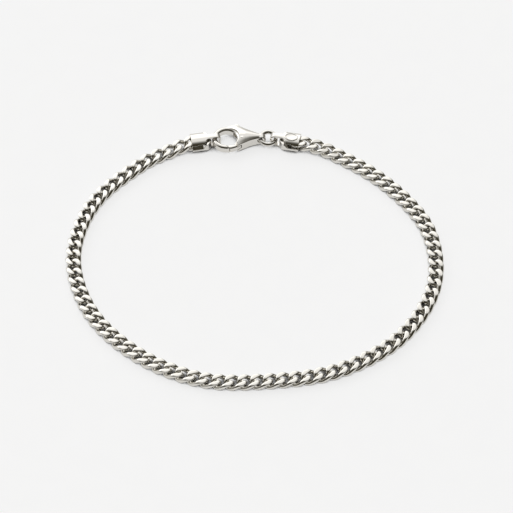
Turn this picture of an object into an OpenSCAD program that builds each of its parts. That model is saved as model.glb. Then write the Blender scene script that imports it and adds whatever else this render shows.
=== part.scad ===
// Curb-link bracelet of polished silver, lying fastened on a table.
// Seen from the wearer's side the lobster clasp is at the far side (+Y) and +Z is up.
// The origin is under the middle of the bracelet's bounding box.

/* [Bracelet] */
// Length of the closed bracelet, measured along the middle of the chain
bracelet_l = 190; // [170:1:220]

/* [Chain] */
// Distance from one link to the next
link_pitch = 2.2; // [2.16:0.01:2.3]
// Length of a link over its two ends
link_l = 4.02; // [3.98:0.01:4.1]
// Width of a link
link_w = 2.9; // [2.85:0.01:3.1]
// Diameter of the wire that a link is bent from
wire_d = 0.82; // [0.7:0.01:0.86]
// How far the twist lifts the wire above the middle of a link
twist_h = 0.6; // [0.55:0.01:0.75]
// Thickness of the chain after both of its faces are ground flat
ground_t = 1.4; // [1.3:0.02:1.44]
// Length over which the chain climbs from the table to an end cap
climb_l = 6.5; // [6:0.5:14]

/* [End caps] */
// Length of an end cap from its mouth to the end of its fold
cap_l = 5.5; // [5.4:0.1:6.2]
// Width of an end cap at its mouth
cap_w = 3.75; // [3.7:0.05:4.1]
// Height of an end cap
cap_h = 2.5; // [2.4:0.05:3]
// Radius of the rolled shoulders of an end cap
shoulder_r = 0.8; // [0.6:0.05:0.9]
// Thickness of the sheet that an end cap is folded from
sheet_t = 0.32; // [0.3:0.02:0.38]
// Length of the full-width part of an end cap
cap_body_l = 2.1; // [2:0.1:2.4]
// Length over which an end cap narrows to its eye
cap_taper_l = 2.3; // [2.1:0.05:2.4]
// Length of the full-width part of its upper leaf
lid_body_l = 1.6; // [1.5:0.05:1.7]
// Length over which the upper leaf narrows to the eye
lid_taper_l = 1.9; // [1.7:0.05:2]
// Width of the strip that forms the eye
eye_w = 1.0; // [0.8:0.05:1.1]
// Height of the slit along each side of an end cap
slit_h = 1.0; // [0.9:0.05:1.1]
// How far the slit lies above the middle of an end cap
slit_up = 0.15; // [0.05:0.05:0.2]
// Diameter of the pin that holds the last link
cap_pin_d = 0.6; // [0.5:0.02:0.62]
// Distance from the mouth to that pin
cap_pin_in = 1.3; // [1.1:0.05:1.4]
// Length of the oval plaque on the right-hand cap
plaque_l = 2.4; // [2:0.1:2.5]
// Width of the oval plaque
plaque_w = 1.8; // [1.5:0.1:2]
// Distance from the mouth to the middle of the plaque
plaque_in = 1.4; // [1.35:0.05:1.5]
// How far the rim of the plaque stands above the cap
plaque_h = 0.12; // [0.08:0.01:0.2]
// Width of the rim of the plaque
plaque_rim = 0.2; // [0.15:0.01:0.3]

/* [Lobster clasp] */
// Length of the clasp over hook and tail
clasp_l = 9.9; // [9.6:0.1:10.6]
// Width of the clasp over its hook
clasp_w = 5.5; // [5.3:0.1:5.9]
// Thickness of the crowned clasp body
clasp_h = 2.45; // [2.25:0.05:2.45]
// Radius of the crown across the body
crown_r = 4.2; // [3.2:0.1:6]
// Thickness of the hook
hook_t = 1.5; // [1.35:0.05:1.6]
// Width of the metal at the far left of the hook
hook_w = 0.95; // [0.85:0.05:1.0]
// Width of the tail, which is the length of the hole through it
tail_w = 1.1; // [0.9:0.05:1.2]
// Height of the rounded tail
tail_h = 1.8; // [1.6:0.05:1.9]
// Diameter of the hole through the tail
tail_hole_d = 1.2; // [1.16:0.02:1.3]

/* [Clasp gate] */
// Thickness of the gate where it closes the hook
gate_t = 1.25; // [1:0.05:1.35]
// Thickness of the lever plate inside the body
lever_t = 0.6; // [0.5:0.02:0.66]
// Gap on each side of the lever plate in its slot
lever_gap = 0.08; // [0.05:0.01:0.1]
// Gap between the tip of the gate and the tip of the hook
tip_gap = 0.12; // [0.08:0.01:0.2]
// Radius of the hub round the rivet
hub_r = 0.7; // [0.6:0.02:0.75]
// Diameter of the rivet
rivet_d = 0.6; // [0.5:0.02:0.7]
// Radial clearance of the lever on the rivet
rivet_fit = 0.04; // [0.02:0.01:0.08]
// Width of the thumb lever
thumb_w = 0.9; // [0.7:0.05:1]
// Radius of the thumb tab
thumb_r = 0.55; // [0.45:0.01:0.58]
// Angle by which the gate swings inwards
gate_angle = 28; // [20:1:30]

/* [Jump ring] */
// Outer diameter of the jump ring
ring_d = 3.6; // [3.5:0.05:3.8]
// Diameter of the ring's wire
ring_wire = 0.8; // [0.7:0.02:0.84]
// Tilt of the ring towards the wearer
ring_tilt = 8; // [0:1:10]
// How far the ring's wire is drawn from the middle of the hole through the tail
ring_play = 0.1; // [0.06:0.01:0.12]

/* [Clearances] */
// Gap between a fold and what hangs in it
fold_gap = 0.12; // [0.1:0.01:0.2]
// Gap between the hook and the lower leaf of its cap
seat_gap = 0.18; // [0.12:0.01:0.22]

/* [Hidden] */
$fn = 64;
// Steps of a bend, of a curve between two points and of the chain's way between two points
bend_n = 6;
curve_n = 4;
way_step_n = 16;
// How far a cutting form runs past the metal
past = 1;

// A share of 1 along the loop is the radius of a round loop of the same length.
loop_r = bracelet_l / (2 * PI);
// Way of the chain from the right-hand cap round the near side to the left-hand cap,
// as shares of loop_r, with the loop's middle at [0, 0]
CHAIN_ROUTE = [
    [0.475, 0.825], [0.79, 0.575], [1.02, 0.215], [1.04, -0.22], [0.835, -0.605],
    [0.485, -0.845], [0.095, -0.925], [-0.30, -0.915], [-0.665, -0.735],
    [-0.945, -0.42], [-1.06, 0], [-0.955, 0.425], [-0.67, 0.748], [-0.468, 0.862]];
// Far left of the hook, as shares of loop_r
hook_at = [-0.258, 0.922] * loop_r;
// Directions from left to right of the fittings, in degrees from +X
cap_left_dir = 10;
clasp_dir = 3;
cap_right_dir = -11.5;

// Outline of the clasp body behind its hook, near side first: shares of clasp_l and clasp_w
CLASP_NEAR = [
    [0.37, -0.485], [0.455, -0.425], [0.53, -0.335], [0.61, -0.268], [0.7, -0.19], [0.82, -0.125]];
CLASP_FAR = [
    [0.82, 0.165], [0.74, 0.245], [0.63, 0.355], [0.535, 0.475], [0.455, 0.535], [0.37, 0.535]];

// Neck of the gate between its arm and the hub: shares of clasp_l and clasp_w, then its
// root on the hub as shares of hub_r
GATE_NECK = [[0.43, -0.2], [0.41, -0.335], [0.39, -0.4], [0.46, -0.42], [0.53, -0.34]];
NECK_ROOT = [[-0.6, -0.75], [0, 0], [-0.95, 0.2]];

link_steps = 12;
wire_sides = 6;
cap_mid = cap_h / 2;
// Height of the slit where the walls of a cap end, and how far they keep from the hook
slit_end_h = 0.2;
wall_gap = 0.17;
chain_mid = ground_t / 2;
clasp_mid = max(sheet_t + seat_gap + hook_t / 2, clasp_h / 2);
hook_r = clasp_w / 2;
hole_r = hook_r - hook_w;
hole_at = [hook_r, 0];
// Hollow of the gate's arm, which runs on from the round hole
arm_hole_at = hole_at + [0.14, -0.02] * clasp_w;
arm_hole_r = 0.9 * hole_r;
tail_x = clasp_l - tail_h / 2;
slot_t = lever_t + 2 * lever_gap;
// Rivet, and corners of the body's front face, in the clasp's own frame
rivet_at = [0.55 * clasp_l, -0.055 * clasp_w];
front_far = [0.405 * clasp_l, 0.24 * clasp_w];
front_near = [0.48 * clasp_l, -0.55 * clasp_w];
thumb_at = [0.47 * clasp_l, 0.57 * clasp_w];
tip_at = [0.29 * clasp_l, -0.42 * clasp_w];
gate_r = norm(tip_at - rivet_at);
thumb_reach = norm(thumb_at - rivet_at);
thumb_dir = atan2(thumb_at[1] - rivet_at[1], thumb_at[0] - rivet_at[0]);
// The rivet is pressed into the body, and its ends lie below the crowned faces.
rivet_seat = 0.01;
rivet_sink = 0.05;

ring_mean_r = (ring_d - ring_wire) / 2;
// The hook hangs in the fold of the left-hand cap. What its nearer edge, the curve of its
// hole and the turn between the two take up is added to the gap.
fold_r = shoulder_r - sheet_t;
edge_up = hook_t / 2 + shoulder_r - min(clasp_mid, cap_h - clasp_mid);
edge_in = fold_r - sqrt(fold_r * fold_r - edge_up * edge_up);
curve_in = hole_r - sqrt(hole_r * hole_r - eye_w * eye_w / 4);
turn_in = eye_w / 2 * sin(abs(cap_left_dir - clasp_dir));
hook_in_cap = cap_l - sheet_t - fold_gap - edge_in - curve_in - turn_in - hook_w;
fold_from = hook_in_cap - wall_gap;
// The ring is centred on the axis of the right-hand cap, whose fold lies inside it.
ring_inner_r = ring_mean_r - ring_wire / 2 - fold_gap;
ring_in_cap = cap_l - sheet_t + sqrt(ring_inner_r * ring_inner_r - eye_w * eye_w / 4);

function dir(a) = [cos(a), sin(a)];
cap_left_at = hook_at - hook_in_cap * dir(cap_left_dir);
tail_at = hook_at + tail_x * dir(clasp_dir);
ring_at = tail_at + (ring_mean_r - ring_play) * dir(clasp_dir);
cap_right_at = ring_at + ring_in_cap * dir(cap_right_dir);

link_a = (link_l - wire_d) / 2;
link_b = (link_w - wire_d) / 2;
// The pin passes through the last link at this share of the half length of its opening.
pin_share = 0.57;
last_link_in = cap_pin_in - pin_share * (link_a - wire_d / 2);
route_start = cap_right_at - last_link_in * dir(cap_right_dir);
route_end = cap_left_at + last_link_in * dir(cap_left_dir);

// Smooth curve through a list of points, with its end directions given
route = concat([route_start], [for (p = CHAIN_ROUTE) p * loop_r], [route_end]);
function gap_to(p, i) = norm(p[i + 1] - p[i]);
function slope(p, i, first, last) =
    i == 0 ? first : i == len(p) - 1 ? last :
    (p[i + 1] - p[i - 1]) / (gap_to(p, i) + gap_to(p, i - 1));
function hermite(a, b, ta, tb, t) =
    a * (1 - 3 * t * t + 2 * t * t * t) + b * (3 * t * t - 2 * t * t * t)
    + ta * (t - 2 * t * t + t * t * t) + tb * (t * t * t - t * t);
function smooth(p, first, last, n) = [
    for (i = [0 : len(p) - 2], j = [0 : n - 1])
        hermite(p[i], p[i + 1], slope(p, i, first, last) * gap_to(p, i),
                slope(p, i + 1, first, last) * gap_to(p, i), j / n),
    p[len(p) - 1]];
way = smooth(route, dir(cap_right_dir), dir(cap_left_dir), way_step_n);
way_n = len(way) - 1;
way_s = [for (i = 0, s = 0; i <= way_n; s = s + (i < way_n ? gap_to(way, i) : 0), i = i + 1) s];
way_l = way_s[way_n];
// The way goes straight on past both of its ends by the length of a link.
way_before = way[0] - link_l * dir(cap_right_dir);
way_after = way[way_n] + link_l * dir(cap_left_dir);
function way_table(k) = concat(
    [[-link_l, way_before[k]]], [for (i = [0 : way_n]) [way_s[i], way[i][k]]],
    [[way_l + link_l, way_after[k]]]);
way_x = way_table(0);
way_y = way_table(1);
link_n = round(way_l / link_pitch) + 1;
pitch = way_l / (link_n - 1);

// Height of the chain's middle: on the table, and up to the caps' middle at both ends,
// where the last link lies level
function ease(t) = let (u = min(max(t, 0), 1)) u * u * (3 - 2 * u);
function chain_z(s) =
    chain_mid + (cap_mid - chain_mid) * (1 - ease((min(s, way_l - s) - link_l / 2) / climb_l));
function chain_at(s) = [lookup(s, way_x), lookup(s, way_y), chain_z(s)];

// The model is moved so that the middle of its box is over the origin.
way_xs = [for (p = way) p[0]];
way_ys = [for (p = way) p[1]];
thumb_top = hook_at + thumb_at[0] * dir(clasp_dir) + thumb_at[1] * dir(clasp_dir + 90);
box_mid = [(max(way_xs) + min(way_xs)) / 2,
           (thumb_top[1] + thumb_r + min(way_ys) - link_w / 2) / 2];

function arc(c, r, a0, a1, n) = [for (i = [0 : n]) c + r * dir(a0 + (a1 - a0) * i / n)];

// One curb link: a twisted oval of wire whose top and bottom are ground flat
function unit(v) = v / norm(v);
function wire_point(t, g) =
    let (
        along = unit([-link_a * sin(t), link_b * cos(t), -2 * twist_h * cos(2 * t)]),
        out = unit([link_b * cos(t), link_a * sin(t), 0]),
        out_n = unit(out - along * (along * out)),
        up = cross(out_n, along),
        p = [link_a * cos(t), link_b * sin(t), -twist_h * sin(2 * t)]
            + wire_d / 2 * (cos(g) * out_n + sin(g) * up))
    [p[0], p[1], min(max(p[2], -ground_t / 2), ground_t / 2)];
link_points = [
    for (i = [0 : link_steps - 1], k = [0 : wire_sides - 1])
        wire_point(i * 360 / link_steps, 90 + k * 360 / wire_sides)];
link_faces = [
    for (i = [0 : link_steps - 1], k = [0 : wire_sides - 1], half = [0, 1])
        let (
            i2 = (i + 1) % link_steps,
            k2 = (k + 1) % wire_sides,
            a = i * wire_sides + k,
            b = i * wire_sides + k2,
            c = i2 * wire_sides + k2,
            d = i2 * wire_sides + k)
        half == 0 ? [a, b, c] : [a, c, d]];

// Both ends of a link lie on the way, so that a climbing link stays off the table.
module link(i) {
    s = i * pitch;
    low = chain_at(s - link_l / 2);
    high = chain_at(s + link_l / 2);
    ahead = high - low;
    rise = atan2(ahead[2], link_l);
    translate([lookup(s, way_x), lookup(s, way_y), (low[2] + high[2]) / 2])
        rotate([0, -rise, atan2(ahead[1], ahead[0])])
            polyhedron(points = link_points, faces = link_faces, convexity = 6);
}

module chain_links(first, last) {
    color("silver") for (i = [first : last]) link(i);
}

module chain_right() {
    chain_links(0, floor(link_n / 2) - 1);
}

module chain_left() {
    chain_links(floor(link_n / 2), link_n - 1);
}

// End cap in its own frame: mouth at x = 0, fold at x = cap_l, middle height at z = 0
function rounded(w, h, r, n) = concat(
    arc([w / 2 - r, h / 2 - r], r, 0, 90, n), arc([r - w / 2, h / 2 - r], r, 90, 180, n),
    arc([r - w / 2, r - h / 2], r, 180, 270, n), arc([w / 2 - r, r - h / 2], r, 270, 360, n));
// One side of the cap from above, drawn in by a distance: two arcs make its double curve
function cap_side(start, inset, body_l, taper_l) =
    let (
        drop = (cap_w - eye_w) / 4,
        run = taper_l / 2,
        r = (drop * drop + run * run) / (2 * drop),
        a = asin(run / r))
    concat(
        [[start, cap_w / 2 - inset]],
        arc([body_l, cap_w / 2 - r], r - inset, 90, 90 - a, curve_n),
        arc([body_l + taper_l, eye_w / 2 + r], r + inset, 270 - a, 270, curve_n),
        [[cap_l + past, eye_w / 2 - inset]]);
function cap_plan(start, inset, body_l, taper_l) =
    let (side = cap_side(start, inset, body_l, taper_l), n = len(side))
    concat(side, [for (i = [1 : n]) [side[n - i][0], -side[n - i][1]]]);

module cap_form(inset, start) {
    intersection() {
        translate([start, 0, 0]) rotate([90, 0, 90]) linear_extrude(cap_l - start)
            polygon(rounded(cap_w - 2 * inset, cap_h - 2 * inset, shoulder_r - inset, bend_n));
        translate([0, cap_w, 0]) rotate([90, 0, 0]) linear_extrude(2 * cap_w)
            polygon(concat(
                [[start, cap_mid - inset], [start, inset - cap_mid]],
                arc([cap_l - shoulder_r, shoulder_r - cap_mid], shoulder_r - inset, 270, 360, bend_n),
                arc([cap_l - shoulder_r, cap_mid - shoulder_r], shoulder_r - inset, 0, 90, bend_n)));
    }
}

// Slit from the side: behind the body the lower leaf rises until it almost meets the upper one
module slit() {
    low = slit_up - slit_h / 2;
    high = slit_up + slit_h / 2;
    rotate([90, 0, 0]) linear_extrude(2 * cap_w, center = true) polygon([
        [-past, low], [cap_body_l, low], [cap_body_l + cap_taper_l / 2, high - slit_end_h],
        [fold_from, high - slit_end_h], [fold_from, high], [-past, high]]);
}

// The walls follow the double curve; behind it both leaves are open at their sides.
module cap_hollow() {
    intersection() {
        cap_form(sheet_t, -past);
        linear_extrude(cap_h, center = true) {
            polygon(cap_plan(-past, sheet_t, cap_body_l, cap_taper_l));
            translate([fold_from, -cap_w]) square([cap_l, 2 * cap_w]);
        }
    }
}

// What the upper leaf leaves free, because it narrows sooner than the lower one
module lid_sides() {
    translate([0, 0, slit_up + slit_h / 2 - slit_end_h / 2]) linear_extrude(cap_h) difference() {
        translate([0, -cap_w]) square([cap_l + past, 2 * cap_w]);
        polygon(cap_plan(-past, 0, lid_body_l, lid_taper_l));
    }
}

module end_cap() {
    difference() {
        intersection() {
            cap_form(0, 0);
            linear_extrude(2 * cap_h, center = true)
                polygon(cap_plan(0, 0, cap_body_l, cap_taper_l));
        }
        cap_hollow();
        slit();
        lid_sides();
    }
    translate([cap_pin_in, 0, -(cap_mid - sheet_t / 2)])
        cylinder(d = cap_pin_d, h = cap_h - sheet_t);
}

// Oval with a raised rim, let into the top of its cap by its seat
function oval(l, w) = [for (a = [0 : 360 / 28 : 359]) [l / 2 * cos(a), w / 2 * sin(a)]];

module plaque() {
    seat = 0.1;
    translate([plaque_in, 0, cap_mid - seat]) difference() {
        linear_extrude(seat + plaque_h) polygon(oval(plaque_l, plaque_w));
        translate([0, 0, seat]) linear_extrude(plaque_h + past)
            polygon(oval(plaque_l - 2 * plaque_rim, plaque_w - 2 * plaque_rim));
    }
}

module end_cap_left() {
    color("silver") translate([cap_left_at[0], cap_left_at[1], cap_mid])
        rotate([0, 0, cap_left_dir]) end_cap();
}

module end_cap_right() {
    color("silver") translate([cap_right_at[0], cap_right_at[1], cap_mid])
        rotate([0, 0, cap_right_dir + 180]) {
            end_cap();
            plaque();
        }
}

// Clasp in its own frame: far left of the hook at x = 0, tail at x = clasp_l
function scaled(p) = [p[0] * clasp_l, p[1] * clasp_w];
function clasp_outline() = concat(
    arc(hole_at, hook_r, 90, 270, 4 * bend_n),
    smooth(concat([[hook_r, -hook_r]], [for (p = CLASP_NEAR) scaled(p)], [[tail_x, -tail_w / 2]]),
           [1, 0], [1, 0], curve_n),
    smooth(concat([[tail_x, tail_w / 2]], [for (p = CLASP_FAR) scaled(p)], [[hook_r, hook_r]]),
           [-1, 0], [-1, 0], curve_n));

// Everything on the hook's side of the body's front face, drawn back by a gap
module front_side(back) {
    polygon([
        front_far - [back, 0], front_near - [back, 0], [-past, front_near[1]], [-past, front_far[1]]]);
}

module gate_opening() {
    intersection() {
        front_side(0);
        translate(rivet_at) circle(r = gate_r + tip_gap);
    }
}

// Slot for the lever: open to the hook, and far enough towards the tail for its swing
module lever_slot() {
    far = clasp_w;
    side = thumb_w / 2 + 2 * lever_gap;
    swung = thumb_dir - gate_angle;
    hub_side = hub_r + lever_gap;
    polygon([
        [thumb_at[0] - thumb_r - tip_gap, far],
        rivet_at + far * dir(swung) + side * dir(swung - 90), rivet_at + side * dir(swung - 90),
        rivet_at + hub_side * dir(270), [rivet_at[0] - hub_side / 2, -far], [tip_at[0], -far],
        front_far]);
    translate(rivet_at) circle(r = hub_side);
}

// Crowned above and below, and falling to the height of the tail behind the rivet
module crowned_bar() {
    high = clasp_h / 2;
    low = tail_h / 2;
    knee = rivet_at[0] + hub_r;
    intersection() {
        rotate([90, 0, 0]) linear_extrude(2 * clasp_w, center = true)
            polygon([[0, high], [knee, high], [tail_x, low], [tail_x, -low], [knee, -high], [0, -high]]);
        translate([0, 0, crown_r - clasp_h / 2]) rotate([0, 90, 0])
            cylinder(r = crown_r, h = tail_x, $fn = 128);
        translate([0, 0, clasp_h / 2 - crown_r]) rotate([0, 90, 0])
            cylinder(r = crown_r, h = tail_x, $fn = 128);
    }
}

module clasp_solid() {
    linear_extrude(hook_t, center = true) polygon(clasp_outline());
    intersection() {
        crowned_bar();
        linear_extrude(2 * clasp_h, center = true) difference() {
            polygon(clasp_outline());
            front_side(0);
            translate([-past, 0]) square([front_far[0] + past, clasp_w]);
        }
    }
    translate([tail_x, tail_w / 2, 0]) rotate([90, 0, 0])
        cylinder(d = tail_h, h = tail_w);
}

module clasp_frame() {
    translate([hook_at[0], hook_at[1], clasp_mid]) rotate([0, 0, clasp_dir]) children();
}

module clasp_body() {
    color("silver") clasp_frame() difference() {
        clasp_solid();
        translate([hole_at[0], hole_at[1], -clasp_h]) cylinder(r = hole_r, h = 2 * clasp_h);
        linear_extrude(2 * clasp_h, center = true) gate_opening();
        linear_extrude(slot_t, center = true) lever_slot();
        translate([rivet_at[0], rivet_at[1], -clasp_h])
            cylinder(d = rivet_d + 2 * rivet_seat, h = 2 * clasp_h);
        translate([tail_x, clasp_w, 0]) rotate([90, 0, 0])
            cylinder(d = tail_hole_d, h = 2 * clasp_w);
    }
}

module thumb_lever() {
    translate(rivet_at) {
        circle(r = hub_r);
        rotate(thumb_dir) {
            translate([0, -thumb_w / 2]) square([thumb_reach, thumb_w]);
            translate([thumb_reach, 0]) circle(r = thumb_r);
        }
    }
}

module gate_arm() {
    difference() {
        intersection() {
            polygon(clasp_outline());
            translate(rivet_at) circle(r = gate_r);
            front_side(tip_gap);
            translate([0, -clasp_w]) square([clasp_l, clasp_w]);
        }
        translate(hole_at) circle(r = hole_r);
        translate(arm_hole_at) circle(r = arm_hole_r);
    }
}

module gate_neck() {
    intersection() {
        polygon(clasp_outline());
        polygon(concat([for (p = GATE_NECK) scaled(p)], [for (p = NECK_ROOT) rivet_at + hub_r * p]));
    }
}

module clasp_gate() {
    color("gainsboro") clasp_frame() difference() {
        union() {
            linear_extrude(gate_t, center = true) gate_arm();
            linear_extrude(lever_t, center = true) {
                gate_neck();
                thumb_lever();
            }
        }
        translate([rivet_at[0], rivet_at[1], -clasp_h])
            cylinder(d = rivet_d + 2 * rivet_fit, h = 2 * clasp_h);
    }
}

module clasp_rivet() {
    rivet_l = clasp_h - 2 * rivet_sink;
    color("gray") clasp_frame() translate([rivet_at[0], rivet_at[1], -rivet_l / 2])
        cylinder(d = rivet_d, h = rivet_l);
}

module jump_ring() {
    color("silver") translate([ring_at[0], ring_at[1], clasp_mid])
        rotate([0, 0, clasp_dir]) rotate([ring_tilt, 0, 0])
            rotate_extrude() translate([ring_mean_r, 0]) circle(d = ring_wire);
}

translate([-box_mid[0], -box_mid[1], 0]) {
    chain_left();
    chain_right();
    end_cap_left();
    end_cap_right();
    clasp_body();
    clasp_gate();
    clasp_rivet();
    jump_ring();
}
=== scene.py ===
# %% [markdown]
# # A curb-link bracelet of polished silver
# The bracelet lies fastened on a pale table and is seen from above its near side. Its chain is
# a row of twisted wire links whose tops and undersides are ground flat. Two folded end caps
# hold the last links, and a lobster clasp and a small ring join the caps at the far side.
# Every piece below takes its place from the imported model, so this notebook starts with it.

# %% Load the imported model, whose lengths are in metres
import math

import bmesh
import bpy
import numpy as np
from mathutils import Matrix, Quaternion, Vector


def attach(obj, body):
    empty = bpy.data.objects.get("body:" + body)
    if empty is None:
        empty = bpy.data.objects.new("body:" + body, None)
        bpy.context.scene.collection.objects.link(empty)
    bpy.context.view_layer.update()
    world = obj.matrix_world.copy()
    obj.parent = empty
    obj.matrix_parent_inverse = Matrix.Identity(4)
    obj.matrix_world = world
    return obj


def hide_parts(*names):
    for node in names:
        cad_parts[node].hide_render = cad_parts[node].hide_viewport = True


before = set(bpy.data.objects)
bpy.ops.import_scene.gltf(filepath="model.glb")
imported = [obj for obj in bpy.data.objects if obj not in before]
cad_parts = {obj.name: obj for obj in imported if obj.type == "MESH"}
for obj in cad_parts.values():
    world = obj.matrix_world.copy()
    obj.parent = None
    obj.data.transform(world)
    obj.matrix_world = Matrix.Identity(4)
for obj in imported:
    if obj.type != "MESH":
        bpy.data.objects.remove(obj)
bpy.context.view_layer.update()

MM = 0.001

# %% [markdown]
# ## Camera
# The photograph looks down at 49 degrees from far away with a long lens, which keeps the oval
# of the loop almost free of perspective. The lens and the distance give the bracelet its size
# in the square frame.

# %% Place the camera
TARGET = Vector((0.38, -0.23, 0.0)) * MM
CAMERA_FROM_TARGET = Vector((0, -337.3, 388.1)) * MM
LENS_MM, SENSOR_MM = 203.5, 36
camera = bpy.data.objects.new("camera", bpy.data.cameras.new("camera"))
camera.data.lens = LENS_MM
camera.data.sensor_width = SENSOR_MM
camera.data.clip_start = 0.01
camera.location = TARGET + CAMERA_FROM_TARGET
camera.rotation_euler = (camera.location - TARGET).to_track_quat("Z", "Y").to_euler()
bpy.context.scene.collection.objects.link(camera)
bpy.context.scene.camera = camera
bpy.context.scene.view_settings.view_transform = "Standard"
print("camera is", round(camera.location.length / MM), "mm from the bracelet")

# %% [markdown]
# ## Colours and nodes
# A colour is picked as an sRGB hex value, which is what a screen shows. Shaders reckon in
# linear light, so one function turns each value. A second small function adds a node, sets
# its properties and joins its inputs, which keeps the node trees short to read.

# %% Two helpers for every node tree
def linear(hex_colour):
    """An sRGB hex colour as linear RGBA."""
    channels = [int(hex_colour[i:i + 2], 16) / 255 for i in (1, 3, 5)]
    return [c / 12.92 if c <= 0.04045 else ((c + 0.055) / 1.055) ** 2.4 for c in channels] + [1]


def add_node(tree, kind, inputs=None, **settings):
    """Add a node. An input is a value, or another node's output to link to it."""
    node = tree.nodes.new(kind)
    for name, value in settings.items():
        setattr(node, name, value)
    for key, value in (inputs or {}).items():
        if isinstance(value, bpy.types.NodeSocket):
            tree.links.new(value, node.inputs[key])
        else:
            node.inputs[key].default_value = value
    return node


# %% [markdown]
# ## Polished silver
# Silver reflects nearly all light with a faint warmth. Polishing with felt and rouge leaves it
# almost a mirror, with hairlines too fine to see one by one: they only soften a reflection a
# little, and not everywhere alike. So the metal is a bright mirror whose roughness drifts
# between two low values, with a very shallow ripple that stops flat faces from looking ruled.

# %% Make the silver
CLOUD_MM, CLOUD_LOW, CLOUD_HIGH = 1.5, 0.35, 0.65
RIPPLE_STRENGTH, RIPPLE_DEPTH_MM = 0.35, 0.006


def silver(name, hex_colour, rough_low, rough_high, ripple_mm):
    """Polished silver whose ripples lie the given distance apart."""
    material = bpy.data.materials.new(name)
    material.use_nodes = True
    tree = material.node_tree
    tree.nodes.clear()
    place = add_node(tree, "ShaderNodeTexCoord")
    cloud = add_node(tree, "ShaderNodeTexNoise", {
        "Vector": place.outputs["Object"], "Scale": 1 / (CLOUD_MM * MM), "Detail": 3.0})
    rough = add_node(tree, "ShaderNodeMapRange", {
        "Value": cloud.outputs["Fac"], "From Min": CLOUD_LOW, "From Max": CLOUD_HIGH,
        "To Min": rough_low, "To Max": rough_high})
    wave = add_node(tree, "ShaderNodeTexNoise", {
        "Vector": place.outputs["Object"], "Scale": 1 / (ripple_mm * MM), "Detail": 1.0})
    bump = add_node(tree, "ShaderNodeBump", {
        "Height": wave.outputs["Fac"], "Strength": RIPPLE_STRENGTH,
        "Distance": RIPPLE_DEPTH_MM * MM})
    surface = add_node(tree, "ShaderNodeBsdfPrincipled", {
        "Base Color": linear(hex_colour), "Metallic": 1.0,
        "Roughness": rough.outputs["Result"], "Normal": bump.outputs["Normal"]})
    add_node(tree, "ShaderNodeOutputMaterial", {"Surface": surface.outputs["BSDF"]})
    return material


chain_silver = silver("chain_silver_polished", "#D8D5CE", 0.04, 0.08, 0.6)
fitting_silver = silver("fitting_silver_polished", "#D9D6D0", 0.04, 0.09, 0.9)
print("materials:", [m.name for m in (chain_silver, fitting_silver)])

# %% [markdown]
# ## Table
# The table is a plain pale sheet, matt as painted board, so it mirrors nothing. A white sheet
# lit by lamps alone would grow darker towards one side. This one glows evenly with the
# photograph's pale tone instead, and ambient occlusion takes the glow away close under the
# metal: a painted contact shadow, the crisp dark line where each link touches the table.

# %% Make the table
GRAIN_MM = 4
# Reach and ambient-occlusion limits of the painted contact shadow under the metal
CONTACT_MM, CONTACT_DARK, CONTACT_CLEAR = 2, 0.27, 0.42
TABLE_GLOW = 1.76
TABLE_SIDE = 4
floor_material = bpy.data.materials.new("table_glow_painted_contact_shadow")
floor_material.use_nodes = True
tree = floor_material.node_tree
tree.nodes.clear()
place = add_node(tree, "ShaderNodeTexCoord")
grain = add_node(tree, "ShaderNodeTexNoise", {
    "Vector": place.outputs["Object"], "Scale": 1 / (GRAIN_MM * MM), "Detail": 4.0})
tone = add_node(tree, "ShaderNodeMix", {
    0: grain.outputs["Fac"], 6: linear("#B1B1B1"), 7: linear("#AFAFAF")}, data_type="RGBA")
# Painted contact shadow: the table's glow fades to nothing where ambient occlusion is strong, close
# under the metal
under = add_node(tree, "ShaderNodeAmbientOcclusion", {"Distance": CONTACT_MM * MM}, samples=8)
glow = add_node(tree, "ShaderNodeMapRange", {
    "Value": under.outputs["AO"], "From Min": CONTACT_DARK, "From Max": CONTACT_CLEAR,
    "To Min": 0.0, "To Max": TABLE_GLOW})
sheet = add_node(tree, "ShaderNodeBsdfPrincipled", {
    "Base Color": linear("#898989"), "Roughness": 0.9, "Specular IOR Level": 0.0,
    "Emission Color": tone.outputs[2], "Emission Strength": glow.outputs["Result"]})
add_node(tree, "ShaderNodeOutputMaterial", {"Surface": sheet.outputs["BSDF"]})

bpy.ops.mesh.primitive_plane_add(size=TABLE_SIDE, location=(0, 0, 0))
table = bpy.context.object
table.name = "table"
table.data.materials.append(floor_material)
print("table is", TABLE_SIDE, "m wide")

# %% [markdown]
# ## Light
# Polished metal shows the room more than the lamps. This room is a tent of light: bright above
# and behind the bracelet, and dark where the camera stands, which is what draws dark lines on
# the near slopes of the metal. Real panels would do it as well, but round patches painted on
# the sky are quicker to place. A large lamp at the upper left gives the soft shadows at the
# lower right.

# %% Start the room
world = bpy.data.worlds.new("tent_of_light")
bpy.context.scene.world = world
world.use_nodes = True
tree = world.node_tree
tree.nodes.clear()
way = add_node(tree, "ShaderNodeTexCoord")


def towards(azimuth, elevation):
    """Unit vector to a place in the room: azimuth 0 is the far side, 90 the right."""
    a, e = math.radians(azimuth), math.radians(elevation)
    return (math.sin(a) * math.cos(e), math.cos(a) * math.cos(e), math.sin(e))


def patch(azimuth, elevation, inner, outer):
    """1 inside a round patch of the room and 0 outside; the angles are in degrees."""
    facing = add_node(tree, "ShaderNodeVectorMath", {
        0: way.outputs["Generated"], 1: towards(azimuth, elevation)}, operation="DOT_PRODUCT")
    return add_node(tree, "ShaderNodeMapRange", {
        "Value": facing.outputs["Value"], "From Min": math.cos(math.radians(outer)),
        "From Max": math.cos(math.radians(inner))}, interpolation_type="SMOOTHSTEP"
    ).outputs["Result"]


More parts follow.
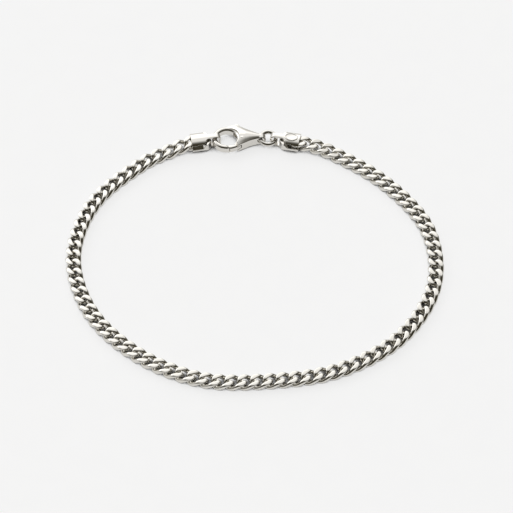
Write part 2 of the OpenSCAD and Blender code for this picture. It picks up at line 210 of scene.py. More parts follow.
# %% Paint the room's patches
# Each patch of the room: azimuth, elevation, inner and outer radius, grey or tint, amount
ROOM = [
    (-55, 30, 18, 48, (1.1, 1.1, 1.1), 1.0),
    (0, 45, 25, 55, (1.1, 1.1, 1.1), 1.0),
    (-10, 32, 10, 25, (1.8, 1.8, 1.8), 1.0),
    (92, 14, 30, 50, (0.09, 0.084, 0.062), 0.95),
    (50, 5, 14, 32, (0.10, 0.094, 0.070), 0.9),
    (180, 24, 42, 88, (0.055, 0.049, 0.033), 1.0),
]
SKY_LOW, SKY_HIGH = (0.40, 0.39, 0.36, 1), (0.62, 0.62, 0.61, 1)
HORIZON_FROM, HORIZON_TO = 0.02, 0.3
height = add_node(tree, "ShaderNodeSeparateXYZ", {0: way.outputs["Generated"]}).outputs["Z"]
horizon = add_node(tree, "ShaderNodeMapRange", {
    "Value": height, "From Min": HORIZON_FROM, "From Max": HORIZON_TO},
    interpolation_type="SMOOTHSTEP")
shade = add_node(tree, "ShaderNodeMix", {
    0: horizon.outputs["Result"], 6: SKY_LOW, 7: SKY_HIGH}, data_type="RGBA").outputs[2]
for azimuth, elevation, inner, outer, tint, amount in ROOM:
    mask = patch(azimuth, elevation, inner, outer)
    part = add_node(tree, "ShaderNodeMath", {0: mask, 1: amount}, operation="MULTIPLY")
    shade = add_node(tree, "ShaderNodeMix", {
        0: part.outputs[0], 6: shade, 7: (*tint, 1)}, data_type="RGBA").outputs[2]
background = add_node(tree, "ShaderNodeBackground", {"Color": shade, "Strength": 1.0})
add_node(tree, "ShaderNodeOutputWorld", {"Surface": background.outputs["Background"]})
print("patches in the room:", len(ROOM))


# %% Hang the lamp
def lamp(name, azimuth, elevation, distance, width, height, power):
    """A rectangular lamp that faces the bracelet; lengths are in metres, power in watts."""
    light = bpy.data.lights.new(name, "AREA")
    light.shape = "RECTANGLE"
    light.size, light.size_y = width, height
    light.energy = power
    holder = bpy.data.objects.new(name, light)
    holder.location = Vector(towards(azimuth, elevation)) * distance
    holder.rotation_euler = holder.location.to_track_quat("Z", "Y").to_euler()
    bpy.context.scene.collection.objects.link(holder)
    return holder


lamp("lamp_upper_left", azimuth=-50, elevation=35, distance=1.0, width=0.6, height=0.4, power=1.0)

# %% [markdown]
# ## The chain
# A curb link starts as an oval ring of round wire. Twisting lets each link lie flat in the
# next, and grinding both faces of the finished chain cuts two bright leaves into the top of
# every link. An array along a curve could set the links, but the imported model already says
# where each one lies. So one Geometry Nodes tree bends the wire, grinds it between two planes
# and sets a copy at each packed place.

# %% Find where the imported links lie
def link_places(node):
    """Middle in millimetres and turn of every link of a packed chain node."""
    mesh = bmesh.new()
    mesh.from_mesh(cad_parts[node].data)
    bmesh.ops.remove_doubles(mesh, verts=mesh.verts, dist=0.001 * MM)
    left, places = set(mesh.verts), []
    while left:
        stack, link = [left.pop()], []
        while stack:
            corner = stack.pop()
            link.append(corner.co / MM)
            for edge in corner.link_edges:
                other = edge.other_vert(corner)
                if other in left:
                    left.remove(other)
                    stack.append(other)
        points = np.array(link)
        middle = points.mean(0)
        _, axes = np.linalg.eigh(np.cov((points - middle).T))
        along, up = Vector(axes[:, 2]), Vector(axes[:, 0])
        up = up if up.z > 0 else -up
        turn = Matrix((along, up.cross(along), up)).transposed()
        places.append((Vector(middle), turn.to_quaternion()))
    mesh.free()
    return places


# %% Give the links' tree its inputs
def number(tree, operation, *values):
    """A Math node's result."""
    return add_node(tree, "ShaderNodeMath", dict(enumerate(values)), operation=operation).outputs[0]


links = bpy.data.node_groups.new("curb_links", "GeometryNodeTree")
links.is_modifier = True
# Lengths in millimetres
SIZES = {"Link length": 4.02, "Link width": 2.9, "Wire": 0.82, "Twist": 0.6,
         "Ground thickness": 1.4, "Soft edge": 0.3}
links.interface.new_socket("Geometry", in_out="INPUT", socket_type="NodeSocketGeometry")
for title, value in SIZES.items():
    links.interface.new_socket(title, in_out="INPUT", socket_type="NodeSocketFloat")
for title in ("Steps", "Sides"):
    links.interface.new_socket(title, in_out="INPUT", socket_type="NodeSocketInt")
links.interface.new_socket("Metal", in_out="INPUT", socket_type="NodeSocketMaterial")
links.interface.new_socket("Geometry", in_out="OUTPUT", socket_type="NodeSocketGeometry")
given = add_node(links, "NodeGroupInput").outputs
print("link sizes in mm:", SIZES)

# %% Bend and twist the wire
index = add_node(links, "GeometryNodeInputIndex").outputs[0]
turn_share = number(links, "DIVIDE", index, given["Steps"])
angle = number(links, "MULTIPLY", turn_share, 2 * math.pi)
middle_length = number(links, "SUBTRACT", given["Link length"], given["Wire"])
middle_width = number(links, "SUBTRACT", given["Link width"], given["Wire"])
half_length = number(links, "MULTIPLY", middle_length, 0.5)
half_width = number(links, "MULTIPLY", middle_width, 0.5)
two_waves = number(links, "SINE", number(links, "MULTIPLY", angle, 2.0))
lift = number(links, "MULTIPLY", two_waves, given["Twist"])
point = add_node(links, "ShaderNodeCombineXYZ", {
    "X": number(links, "MULTIPLY", number(links, "COSINE", angle), half_length),
    "Y": number(links, "MULTIPLY", number(links, "SINE", angle), half_width),
    "Z": number(links, "MULTIPLY", lift, -1.0)})
oval_wire = add_node(links, "GeometryNodeCurvePrimitiveCircle", {"Resolution": given["Steps"]})
bent = add_node(links, "GeometryNodeSetPosition", {
    "Geometry": oval_wire.outputs["Curve"], "Position": point.outputs[0]})
section = add_node(links, "GeometryNodeCurvePrimitiveCircle", {
    "Resolution": given["Sides"], "Radius": number(links, "MULTIPLY", given["Wire"], 0.5)})
wire = add_node(links, "GeometryNodeCurveToMesh", {
    "Curve": bent.outputs[0], "Profile Curve": section.outputs["Curve"]})

# %% Grind both faces
top = number(links, "MULTIPLY", given["Ground thickness"], 0.5)
place = add_node(links, "ShaderNodeSeparateXYZ", {
    0: add_node(links, "GeometryNodeInputPosition").outputs[0]}).outputs
bottom = number(links, "MULTIPLY", top, -1.0)
below = number(links, "SMOOTH_MIN", place["Z"], top, given["Soft edge"])
level = number(links, "SMOOTH_MAX", below, bottom, given["Soft edge"])
flat = add_node(links, "ShaderNodeCombineXYZ", {"X": place["X"], "Y": place["Y"], "Z": level})
ground = add_node(links, "GeometryNodeSetPosition", {
    "Geometry": wire.outputs[0], "Position": flat.outputs[0]})
smooth = add_node(links, "GeometryNodeSetShadeSmooth", {
    "Geometry": ground.outputs[0]}, domain="FACE")

# %% Set a copy at each place
lie = add_node(links, "GeometryNodeInputNamedAttribute", {"Name": "lie"}, data_type="QUATERNION")
row = add_node(links, "GeometryNodeInstanceOnPoints", {
    "Points": given["Geometry"], "Instance": smooth.outputs[0],
    "Rotation": lie.outputs["Attribute"]})
real = add_node(links, "GeometryNodeRealizeInstances", {"Geometry": row.outputs[0]})
small = add_node(links, "GeometryNodeTransform", {
    "Geometry": real.outputs[0], "Scale": (MM, MM, MM)})
coated = add_node(links, "GeometryNodeSetMaterial", {
    "Geometry": small.outputs[0], "Material": given["Metal"]})
add_node(links, "NodeGroupOutput", {"Geometry": coated.outputs[0]})
print("nodes in the links' tree:", len(links.nodes))


# %% Helpers that turn a tree or a mesh into a piece
def kept(holder):
    """The mesh that an object's modifiers make; the object itself goes."""
    view = holder.evaluated_get(bpy.context.evaluated_depsgraph_get())
    mesh = bpy.data.meshes.new_from_object(view)
    bpy.data.objects.remove(holder)
    return mesh


def in_scene(name, mesh):
    """A mesh as an object of the scene."""
    thing = bpy.data.objects.new(name, mesh)
    bpy.context.scene.collection.objects.link(thing)
    return thing


def wires(name, places, inputs):
    """Run the tree on (middle, turn) places and keep the result as a plain mesh object."""
    start = bpy.data.meshes.new(name + "_places")
    start.from_pydata([middle for middle, _ in places], [], [])
    lie_values = start.attributes.new("lie", "QUATERNION", "POINT")
    for i, (_, turn) in enumerate(places):
        lie_values.data[i].value = turn
    holder = in_scene(name + "_start", start)
    modifier = holder.modifiers.new("nodes", "NODES")
    modifier.node_group = links
    for item in links.interface.items_tree:
        if item.in_out == "INPUT" and item.name in inputs:
            modifier[item.identifier] = inputs[item.name]
    return in_scene(name, kept(holder))


def finished(piece, body, slot, *nodes):
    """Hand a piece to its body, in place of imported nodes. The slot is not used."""
    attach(piece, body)
    for node in nodes:
        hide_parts(node)
    size = [round(v / MM, 2) for v in piece.dimensions]
    print(piece.name, len(piece.data.polygons), "faces", size)


# %% Set the links along both halves
LINK_STEPS, LINK_SIDES = 64, 28
for name, node in (("curb_links_left", "chain_left"), ("curb_links_right", "chain_right")):
    piece = wires(name, link_places(node), {
        **SIZES, "Steps": LINK_STEPS, "Sides": LINK_SIDES, "Metal": chain_silver})
    finished(piece, "bracelet", "silver", node)

# %% [markdown]
# ## Shapes for the fittings
# A fitting is drawn as outlines in its own frame, in millimetres. Rings of points are skinned
# into closed solids, and the solids are joined and cut. A bevel on every edge would break where
# cuts meet, so at the end a fine grain and a little smoothing round them all, as tumbling with
# steel shot does to a cast clasp.

# %% Outlines in a plane
def at(angle, radius=1.0):
    """The point at an angle in degrees and a radius."""
    a = math.radians(angle)
    return np.array((radius * math.cos(a), radius * math.sin(a)))


def arc(centre, radius, start, end, steps=24):
    """Points along an arc from one angle to another."""
    return [np.array(centre) + at(start + (end - start) * i / steps, radius)
            for i in range(steps + 1)]


def circle(centre, radius, steps=48):
    """Points round a circle."""
    return arc(centre, radius, 0, 360 - 360 / steps, steps - 1)


def soft_box(width, height, power, points=72):
    """A box whose sides swell into one another; a power of 2 gives an oval."""
    corner = [(math.cos(a), math.sin(a)) for a in np.arange(points) * math.tau / points]
    return [np.array((width / 2 * math.copysign(abs(c) ** (2 / power), c),
                      height / 2 * math.copysign(abs(s) ** (2 / power), s))) for c, s in corner]


def smooth_line(points, first, last, steps=8):
    """A curve through points whose directions at its ends are given."""
    p = [np.array(q, float) for q in points]
    gap = [np.linalg.norm(b - a) for a, b in zip(p, p[1:])]
    inner = [(p[i + 1] - p[i - 1]) / (gap[i] + gap[i - 1]) for i in range(1, len(p) - 1)]
    slope = [np.array(first, float), *inner, np.array(last, float)]
    line = []
    for i, g in enumerate(gap):
        for t in np.arange(steps) / steps:
            line.append(p[i] * (1 - 3 * t**2 + 2 * t**3) + p[i + 1] * (3 * t**2 - 2 * t**3)
                        + slope[i] * g * (t - 2 * t**2 + t**3) + slope[i + 1] * g * (t**3 - t**2))
    return line + [p[-1]]


def inset(outline, by):
    """An outline that runs anticlockwise, moved inwards."""
    p = np.array(outline)
    along = np.roll(p, -1, 0) - np.roll(p, 1, 0)
    along /= np.linalg.norm(along, axis=1)[:, None]
    return p + by * np.stack((-along[:, 1], along[:, 0]), 1)


# %% Solids from outlines
def skin(rings):
    """A closed solid through rings that have equal numbers of points."""
    mesh = bmesh.new()
    rows = [[mesh.verts.new(p) for p in ring] for ring in rings]
    for low_row, high_row in zip(rows, rows[1:]):
        for i in range(len(low_row)):
            j = (i + 1) % len(low_row)
            mesh.faces.new((low_row[i], low_row[j], high_row[j], high_row[i]))
    mesh.faces.new(rows[0][::-1])
    mesh.faces.new(rows[-1])
    bmesh.ops.recalc_face_normals(mesh, faces=mesh.faces)
    solid = bpy.data.meshes.new("solid")
    mesh.to_mesh(solid)
    mesh.free()
    return solid


def ring_at(outline, height, along):
    """An outline lifted to a height along X, Y or Z."""
    return [{"X": (height, u, v), "Y": (u, height, v), "Z": (u, v, height)}[along]
            for u, v in outline]


def prism(outline, low, high, along="Z"):
    """An outline drawn out between two heights."""
    return skin([ring_at(outline, height, along) for height in (low, high)])


def box(low, high):
    """An upright block between two corners."""
    outline = [(low[0], low[1]), (high[0], low[1]), (high[0], high[1]), (low[0], high[1])]
    return prism(outline, low[2], high[2])


def rolled_edge(half, edge, steps=5):
    """How far a rounded edge is drawn in, and at what height, from its side to its face."""
    bends = [math.pi / 2 * i / steps for i in range(steps + 1)]
    return [(edge * (1 - math.cos(a)), half - edge + edge * math.sin(a)) for a in bends]


def pillow(outline, half, edge, along="Z"):
    """An outline raised to both sides, with its rims rounded by the radius of the edge."""
    side = rolled_edge(half, edge)
    rows = [(by, -z) for by, z in side[::-1]] + side
    return skin([ring_at(inset(outline, by), z, along) for by, z in rows])


def bore(centre, radius, half, edge, along="Z"):
    """A round hole's cutting form, flared at both rims by the radius of the edge."""
    side = [*rolled_edge(half, edge), (edge, half + 1.0)]
    rows = [(by, -z) for by, z in side[::-1]] + side
    return skin([ring_at(circle(centre, radius + by), z, along) for by, z in rows])


# %% Join, cut and polish
def carved(solid, *steps):
    """Join, share or cut solids in turn."""
    holder = in_scene("carving", solid)
    tools = []
    for operation, mesh in steps:
        tools.append(in_scene("tool", mesh))
        modifier = holder.modifiers.new(operation, "BOOLEAN")
        modifier.operation, modifier.solver, modifier.object = operation, "MANIFOLD", tools[-1]
    result = kept(holder)
    for tool in tools:
        bpy.data.objects.remove(tool)
    return result


def polished(name, solid, grain, rounds, place):
    """Round every edge of a solid a little and put it in its place."""
    holder = in_scene("rough", solid)
    remesh = holder.modifiers.new("grain", "REMESH")
    remesh.mode, remesh.voxel_size = "VOXEL", grain
    soft = holder.modifiers.new("soft", "SMOOTH")
    soft.factor, soft.iterations = 0.5, rounds
    mesh = kept(holder)
    mesh.transform(place)
    mesh.shade_smooth()
    mesh.materials.clear()
    mesh.materials.append(fitting_silver)
    return in_scene(name, mesh)


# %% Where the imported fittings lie
def packed(node):
    """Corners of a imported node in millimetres."""
    return np.array([corner.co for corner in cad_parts[node].data.vertices]) / MM


def own_frame(origin, direction, height):
    """From a fitting's own frame in millimetres to its place in the scene."""
    return (Matrix.Translation(Vector((*origin, height)) * MM)
            @ Matrix.Rotation(math.radians(direction), 4, "Z") @ Matrix.Diagonal((MM, MM, MM, 1)))


def middle_of(node):
    """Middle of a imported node's box in millimetres."""
    corners = packed(node)
    return (corners.min(0) + corners.max(0)) / 2


# %% [markdown]
# ## End caps
# A cap is one strip of sheet folded over: a box with rolled shoulders takes the last link, and
# its sides run in on a double curve to a narrow fold that serves as the eye. A slit along each
# side shows that the strip isn't soldered. The upper leaf, or lid, narrows sooner than the
# lower one, whose lips rise towards it. The left cap has the wider slit, and there the lower
# leaf's rim leans in under the lid and hides the link inside. Bending a real sheet in Blender
# is hard to steer, so the cap is cut from its outer form like a casting.

# %% Measure the caps
CAP_L, CAP_W, CAP_H = 5.5, 3.75, 2.5
SHOULDER, SHEET, CAP_SWELL = 0.8, 0.32, 2.3
CAP_BODY_L, CAP_TAPER_L, EYE_W = 2.1, 2.3, 1.0
LID_BODY_L, LID_TAPER_L = 1.6, 1.9
SLIT_H, SLIT_UP = 1.0, 0.15
FOLD_FROM = 3.7
CAP_PIN_R, CAP_PIN_IN = 0.3, 1.3
RIM_FOOT, RIM_T, RIM_SLOPE, RIM_INSIDE = 1.82, 0.16, 60, 0.01
RISE_FROM, RISE_TO, LIP_END, SLIT_END = 1.8, 2.8, 0.7, 0.8
CAP_GRAIN, CAP_ROUNDS = 0.04, 3
LEFT_DIR, RIGHT_DIR = 10, 168.5
LEFT_LIP, RIGHT_LIP = -0.15, 0.05
print("a cap is", CAP_L, "mm long and narrows from", CAP_W, "to", EYE_W, "mm")


# %% Draw the caps' forms
def cap_form(by, start):
    """The box with its rolled shoulders and its fold, drawn in by a distance."""
    section = soft_box(CAP_W - 2 * by, CAP_H - 2 * by, CAP_SWELL + by)
    low, high = by - CAP_H / 2, CAP_H / 2 - by
    turn_x, turn_z = CAP_L - SHOULDER, CAP_H / 2 - SHOULDER
    side = [np.array((start, high)), np.array((start, low)),
            *arc((turn_x, -turn_z), SHOULDER - by, 270, 360, 8),
            *arc((turn_x, turn_z), SHOULDER - by, 0, 90, 8)]
    return carved(prism(section, start, CAP_L - by / 2, "X"),
                  ("INTERSECT", prism(side, -CAP_W, CAP_W, "Y")))


def cap_plan(start, body_l=CAP_BODY_L, taper_l=CAP_TAPER_L):
    """A leaf of the cap from above: two arcs on each side make the double curve of its taper."""
    drop, run = (CAP_W - EYE_W) / 4, taper_l / 2
    radius = (drop ** 2 + run ** 2) / (2 * drop)
    bend = math.degrees(math.asin(run / radius))
    side = [*arc((body_l, CAP_W / 2 - radius), radius, 90, 90 - bend, 12),
            *arc((body_l + taper_l, EYE_W / 2 + radius), radius, 270 - bend, 270, 12)[1:]]
    ends = [np.array((start, CAP_W / 2)), np.array((CAP_L + 1, EYE_W / 2))]
    far = [ends[0], *side, ends[1]]
    return far + [p * (1, -1) for p in far[::-1]]


def rolled_rim(lip, top, side):
    """The lower leaf's rim along one side: a strip that leans in until it almost meets the lid."""
    plan = cap_plan(0)
    wall_x, wall_y = zip(*plan[:len(plan) // 2])
    rings = []
    for x, z in lip:
        foot = min(RIM_FOOT, np.interp(x, wall_x, wall_y) - RIM_INSIDE)
        lean = (top - z) / math.tan(math.radians(RIM_SLOPE))
        rings.append([(x, side * y, h) for y, h in (
            (foot, z - RIM_T), (foot - lean, top),
            (foot - lean - RIM_T, top), (foot - RIM_T, z - RIM_T))])
    return skin(rings)


# %% Build the end caps
def end_cap(name, node, direction, lip, rolled):
    """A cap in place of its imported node; its lower leaf ends at the lip's height."""
    high = SLIT_UP + SLIT_H / 2
    rise = smooth_line([(RISE_FROM, lip), (RISE_TO, LIP_END)], (1, 0), (1, 0))
    slit = [(-1, lip), *rise, (FOLD_FROM, LIP_END), (FOLD_FROM, SLIT_END),
            (LID_BODY_L, SLIT_END), (LID_BODY_L / 2, high), (-1, high)]
    rims = [("UNION", rolled_rim([(0, lip), *rise[:-2]], high, side))
            for side in (1, -1) if rolled]
    lid_inside = inset(cap_plan(-3, LID_BODY_L, LID_TAPER_L), -SHEET)
    inside = carved(prism(lid_inside, -CAP_H, CAP_H),
                    ("UNION", box((FOLD_FROM, -CAP_W, -CAP_H), (CAP_L, CAP_W, CAP_H))))
    lid = prism(cap_plan(-1, LID_BODY_L, LID_TAPER_L), -CAP_H, 2 * CAP_H)
    beside_lid = carved(box((0, -CAP_W, (LIP_END + SLIT_END) / 2), (CAP_L + 1, CAP_W, CAP_H)),
                        ("DIFFERENCE", lid))
    pin = prism(circle((CAP_PIN_IN, 0), CAP_PIN_R), SHEET / 2 - CAP_H / 2, CAP_H / 2 - SHEET / 2)
    folded = carved(cap_form(0, 0), ("INTERSECT", prism(cap_plan(-1), -CAP_H, CAP_H)),
                    ("DIFFERENCE", carved(cap_form(SHEET, -1), ("INTERSECT", inside))),
                    ("DIFFERENCE", prism(slit, -CAP_W, CAP_W, "Y")),
                    ("DIFFERENCE", beside_lid), ("UNION", pin), *rims)
    corners = packed(node)[:, :2]
    along, across = corners @ at(direction), corners @ at(direction + 90)
    middle = (across.min() + across.max()) / 2
    origin = along.min() * at(direction) + middle * at(direction + 90)
    place = own_frame(origin, direction, CAP_H / 2)
    cap = polished(name, folded, CAP_GRAIN, CAP_ROUNDS, place)
    finished(cap, "bracelet", "silver", node)
    return place


end_cap("folded_cap_left", "end_cap_left", LEFT_DIR, LEFT_LIP, True)
right_place = end_cap("folded_cap_right", "end_cap_right", RIGHT_DIR, RIGHT_LIP, False)

# %% [markdown]
# ## Oval plaque
# A small oval plate with a raised, rounded rim is soldered on the right-hand cap. Its bare
# floor lies a little above the cap. One rim profile, drawn in from the edge, gives all its
# rings, so a skin through them is enough and nothing has to be cut.

# %% Build the oval plaque
PLAQUE_L, PLAQUE_W, PLAQUE_IN = 2.4, 1.8, 1.6
PLAQUE_H, PLAQUE_RIM, PLAQUE_SEAT = 0.12, 0.2, 0.2
PLAQUE_POINTS = 64


def oval(by, height):
    """A ring of the plaque, drawn in by a distance, at a height above the cap."""
    half_l, half_w = PLAQUE_L / 2 - by, PLAQUE_W / 2 - by
    return [(half_l * math.cos(a), half_w * math.sin(a), height)
            for a in np.arange(PLAQUE_POINTS) * math.tau / PLAQUE_POINTS]


# The profile's heights, each with its distance from the edge
rim = [(-PLAQUE_SEAT, 0), (PLAQUE_H * 0.6, 0), (PLAQUE_H * 0.9, 0.03), (PLAQUE_H, 0.08),
       (PLAQUE_H, PLAQUE_RIM - 0.08), (PLAQUE_H * 0.9, PLAQUE_RIM - 0.03),
       (PLAQUE_H * 0.45, PLAQUE_RIM), (0.045, PLAQUE_RIM + 0.03), (0.04, PLAQUE_RIM + 0.08)]
plaque = skin([oval(by, height) for height, by in rim])
plaque.transform(right_place @ Matrix.Translation((PLAQUE_IN, 0, CAP_H / 2)))
plaque.shade_smooth()
plaque.materials.append(fitting_silver)
finished(in_scene("oval_plaque", plaque), "bracelet", "silver", "end_cap_right")

# %% [markdown]
# ## Lobster clasp
# The clasp is a cast hook that widens into a crowned, teardrop body and ends in a boss with a
# hole for the ring. A lever turns on a rivet in a slot of the body: its arm closes the hook, and
# its thumb tab stands out at the far side. A sculpted mesh could follow the crown, but rings
# along the body keep its height and its outline in a few numbers.

# %% Draw the clasp's outlines
CLASP_L, CLASP_W, CLASP_H = 9.9, 5.5, 2.45
HOOK_T, HOOK_W, HOOK_EDGE = 1.5, 0.95, 0.43
TAIL_W, TAIL_H, TAIL_HOLE_R = 1.1, 1.8, 0.6
TAIL_EDGE, TAIL_HOLE_EDGE = 0.15, 0.12
LEVER_T, LEVER_GAP, TIP_GAP = 0.6, 0.08, 0.12
HUB_R, RIVET_R, RIVET_FIT, RIVET_SEAT = 0.7, 0.3, 0.04, 0.01
THUMB_W, THUMB_R, GATE_ANGLE = 0.9, 0.55, 28
CLASP_DIR = 3
HOOK_R = CLASP_W / 2
HOLE_AT, HOLE_R = np.array((HOOK_R, 0.0)), HOOK_R - HOOK_W
TAIL_X = CLASP_L - TAIL_H / 2


def shares(*points):
    """Points given as shares of the clasp's length and width."""
    return [np.array((x * CLASP_L, y * CLASP_W)) for x, y in points]


rivet_at, front_far, front_near, thumb_at, tip_at = shares(
    (0.55, -0.055), (0.405, 0.24), (0.48, -0.55), (0.47, 0.57), (0.29, -0.42))
near_shares = shares((0.37, -0.485), (0.455, -0.425), (0.53, -0.335), (0.61, -0.268),
                     (0.7, -0.19), (0.82, -0.125))
far_shares = shares((0.82, 0.165), (0.74, 0.245), (0.63, 0.355), (0.535, 0.475),
                    (0.455, 0.535), (0.37, 0.535))
near_line = smooth_line(
    [(HOOK_R, -HOOK_R), *near_shares, (TAIL_X, -TAIL_W / 2)], (1, 0), (1, 0))
far_line = smooth_line(
    [(TAIL_X, TAIL_W / 2), *far_shares, (HOOK_R, HOOK_R)], (-1, 0), (-1, 0))
clasp_outline = arc(HOLE_AT, HOOK_R, 90, 270, 48)[:-1] + near_line + far_line[:-1]
gate_r = np.linalg.norm(tip_at - rivet_at)
thumb_reach = np.linalg.norm(thumb_at - rivet_at)
thumb_dir = math.degrees(math.atan2(*(thumb_at - rivet_at)[::-1]))
print("the lever reaches", round(gate_r, 2), "mm to its tip and", round(thumb_reach, 2),
      "mm to its thumb tab")


def front_side(back):
    """Everything on the hook's side of the body's front face, drawn back by a gap."""
    return prism([front_far - (back, 0), front_near - (back, 0),
                  (-1, front_near[1]), (-1, front_far[1])], -CLASP_H, CLASP_H)


# %% Crown the clasp's body
BODY_FROM, BODY_RINGS = 0.3 * CLASP_L, 40
BODY_X = [0.31 * CLASP_L, 0.36 * CLASP_L, 0.42 * CLASP_L, 0.47 * CLASP_L,
          rivet_at[0] + HUB_R, TAIL_X]
BODY_HALF = [HOOK_T / 2, 0.86, 1.1, CLASP_H / 2, CLASP_H / 2, TAIL_H / 2]
NEAR_TOP, NEAR_UNDER = 0.66, 0.9
FAR_EDGE, NEAR_EDGE, CROWN_STEPS = 0.2, 0.1, 8


def crown(half, half_w, near_half):
    """One face of the body from its far edge to its crisper near edge, as (across, height)."""
    across = np.linspace(half_w - FAR_EDGE, NEAR_EDGE - half_w, 2 * CROWN_STEPS + 1)
    ends = np.where(across > 0, HOOK_T / 2, near_half)
    face = list(zip(across, half - (half - ends) * (across / half_w) ** 2))
    far_turn = (half_w - FAR_EDGE, face[0][1] - FAR_EDGE)
    near_turn = (NEAR_EDGE - half_w, face[-1][1] - NEAR_EDGE)
    return (arc(far_turn, FAR_EDGE, 0, 75, CROWN_STEPS) + face[1:-1]
            + arc(near_turn, NEAR_EDGE, 115, 180, CROWN_STEPS))


def body_section(x):
    """One ring of the body: crowned above and below, with upright sides."""
    near = np.interp(x, [p[0] for p in near_line], [p[1] for p in near_line])
    far = np.interp(x, [p[0] for p in far_line[::-1]], [p[1] for p in far_line[::-1]])
    half = np.interp(x, BODY_X, BODY_HALF)
    middle, half_w = (near + far) / 2, (far - near) / 2
    upper, lower = (crown(half, half_w, min(half, h)) for h in (NEAR_TOP, NEAR_UNDER))
    return [(x, middle + y, z) for y, z in upper] + [(x, middle + y, -z) for y, z in lower[::-1]]


body = skin([body_section(x) for x in np.linspace(BODY_FROM, TAIL_X, BODY_RINGS)])

# %% Join the clasp's hook and boss, and cut its slot
RIVET_HOLE_HALF = 0.95
before_body = prism([(-1, -CLASP_W), (front_near[0], -CLASP_W), (front_near[0], CLASP_W),
                     (-1, CLASP_W)], -CLASP_H, CLASP_H)
hook_plate = carved(pillow(clasp_outline, HOOK_T / 2, HOOK_EDGE), ("INTERSECT", before_body))
boss = pillow(circle((TAIL_X, 0), TAIL_H / 2), TAIL_W / 2, TAIL_EDGE, "Y")
opening = carved(front_side(0), (
    "INTERSECT", prism(circle(rivet_at, gate_r + TIP_GAP, 96), -CLASP_H, CLASP_H)))
reach = CLASP_W
slot_side, hub_side = THUMB_W / 2 + 2 * LEVER_GAP, HUB_R + LEVER_GAP
swung = thumb_dir - GATE_ANGLE
slot_outline = [
    (thumb_at[0] - THUMB_R - TIP_GAP, reach),
    rivet_at + at(swung, reach) + at(swung - 90, slot_side),
    rivet_at + at(swung - 90, slot_side), rivet_at + at(270, hub_side),
    (rivet_at[0] - hub_side / 2, -reach), (tip_at[0], -reach), front_far]
slot_half = LEVER_T / 2 + LEVER_GAP
rivet_hole = prism(circle(rivet_at, RIVET_R + RIVET_SEAT), -RIVET_HOLE_HALF, RIVET_HOLE_HALF)
clasp_solid = carved(
    hook_plate, ("UNION", body), ("UNION", boss),
    ("DIFFERENCE", bore(HOLE_AT, HOLE_R, HOOK_T / 2, HOOK_EDGE)),
    ("DIFFERENCE", opening), ("DIFFERENCE", prism(slot_outline, -slot_half, slot_half)),
    ("DIFFERENCE", prism(circle(rivet_at, hub_side), -slot_half, slot_half)),
    ("DIFFERENCE", rivet_hole),
    ("DIFFERENCE", bore((TAIL_X, 0), TAIL_HOLE_R, TAIL_W / 2, TAIL_HOLE_EDGE, "Y")))

# %% Polish the clasp's body and set it in place
CLASP_GRAIN, CLASP_ROUNDS = 0.05, 6
rivet_middle = middle_of("clasp_rivet")
turned = at(CLASP_DIR) * rivet_at[0] + at(CLASP_DIR + 90) * rivet_at[1]
clasp_place = own_frame(rivet_middle[:2] - turned, CLASP_DIR, rivet_middle[2])
clasp_body = polished("lobster_body", clasp_solid, CLASP_GRAIN, CLASP_ROUNDS, clasp_place)
finished(clasp_body, "bracelet", "silver_clasp", "clasp_body")

# %% [markdown]
# ## Lever
# The lever is thin enough for its slot, and only its arm is nearly as thick as the hook that
# it closes. A neck joins the arm to the hub on the rivet, and a bar leads from the hub to the
# thumb tab. It could be drawn by itself, but cut from the clasp's own outline its arm runs on
# into the hook when the clasp is shut.

# %% Build the lever
GATE_T, ARM_EDGE, THUMB_EDGE = 1.25, HOOK_EDGE * 0.8, 0.15
GATE_GRAIN, GATE_ROUNDS = 0.04, 4
ARM_HOLE_AT, ARM_HOLE_R = HOLE_AT + np.array((0.14, -0.02)) * CLASP_W, 0.9 * HOLE_R
near_half = prism([(0, -CLASP_W), (CLASP_L, -CLASP_W), (CLASP_L, 0), (0, 0)], -CLASP_H, CLASP_H)
arm = carved(
    pillow(clasp_outline, GATE_T / 2, ARM_EDGE),
    ("INTERSECT", prism(circle(rivet_at, gate_r, 96), -CLASP_H, CLASP_H)),
    ("INTERSECT", front_side(TIP_GAP)), ("INTERSECT", near_half),
    ("DIFFERENCE", bore(HOLE_AT, HOLE_R, GATE_T / 2, ARM_EDGE)),
    ("DIFFERENCE", bore(ARM_HOLE_AT, ARM_HOLE_R, GATE_T / 2, ARM_EDGE)))
neck_shares = shares((0.43, -0.2), (0.41, -0.335), (0.39, -0.4), (0.46, -0.42), (0.53, -0.34))
neck_on_hub = [rivet_at + HUB_R * np.array(p) for p in ((-0.6, -0.75), (0, 0), (-0.95, 0.2))]
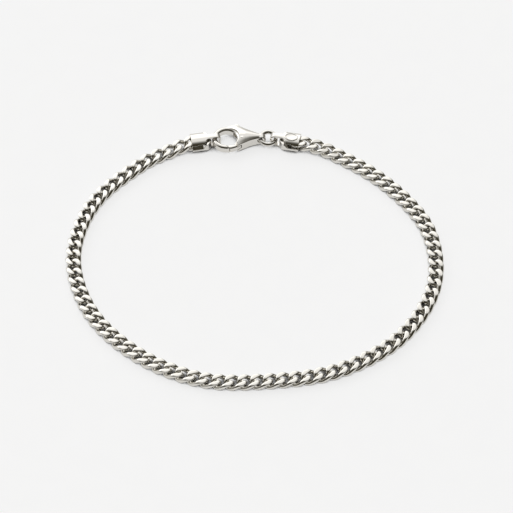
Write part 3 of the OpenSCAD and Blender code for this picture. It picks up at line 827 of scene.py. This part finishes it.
neck = carved(prism([*neck_shares, *neck_on_hub], -LEVER_T / 2, LEVER_T / 2),
              ("INTERSECT", prism(clasp_outline, -CLASP_H, CLASP_H)))
hub = prism(circle(rivet_at, HUB_R), -LEVER_T / 2, LEVER_T / 2)
bar = [rivet_at + at(thumb_dir, x) + at(thumb_dir + 90, y) for x, y in
       ((0, -THUMB_W / 2), (thumb_reach, -THUMB_W / 2), (thumb_reach, THUMB_W / 2),
        (0, THUMB_W / 2))]
tab_at = rivet_at + at(thumb_dir, thumb_reach)
gate_solid = carved(
    arm, ("UNION", neck), ("UNION", hub), ("UNION", prism(bar, -LEVER_T / 2, LEVER_T / 2)),
    ("UNION", pillow(circle(tab_at, THUMB_R), LEVER_T / 2, THUMB_EDGE)),
    ("DIFFERENCE", prism(circle(rivet_at, RIVET_R + RIVET_FIT), -CLASP_H, CLASP_H)))
lever = polished("lobster_gate", gate_solid, GATE_GRAIN, GATE_ROUNDS, clasp_place)
finished(lever, "gate", "silver_clasp", "clasp_gate")

# %% [markdown]
# ## Ring and rivet
# The jump ring is a closed ring of the same kind of wire, so the tree of the links bends it as
# well: without a twist, and with its faces left round. The rivet is a plain pin that stays as
# it was packed.

# %% Build the jump ring
RING_D, RING_WIRE, RING_TILT = 3.6, 0.8, 8
RING_STEPS, RING_SIDES = 96, 40
tilt = (Quaternion((0, 0, 1), math.radians(CLASP_DIR))
        @ Quaternion((1, 0, 0), math.radians(RING_TILT)))
ring = wires("jump_ring_wire", [(Vector(middle_of("jump_ring")), tilt)], {
    "Link length": RING_D, "Link width": RING_D, "Wire": RING_WIRE, "Twist": 0.0,
    "Ground thickness": RING_D, "Soft edge": 0.0, "Steps": RING_STEPS, "Sides": RING_SIDES,
    "Metal": fitting_silver})
finished(ring, "bracelet", "silver", "jump_ring")

# %% Silver on the rivet
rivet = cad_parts["clasp_rivet"]
rivet.data.materials.clear()
rivet.data.materials.append(fitting_silver)
print("the rivet keeps its packed shape:", len(rivet.data.polygons), "faces")
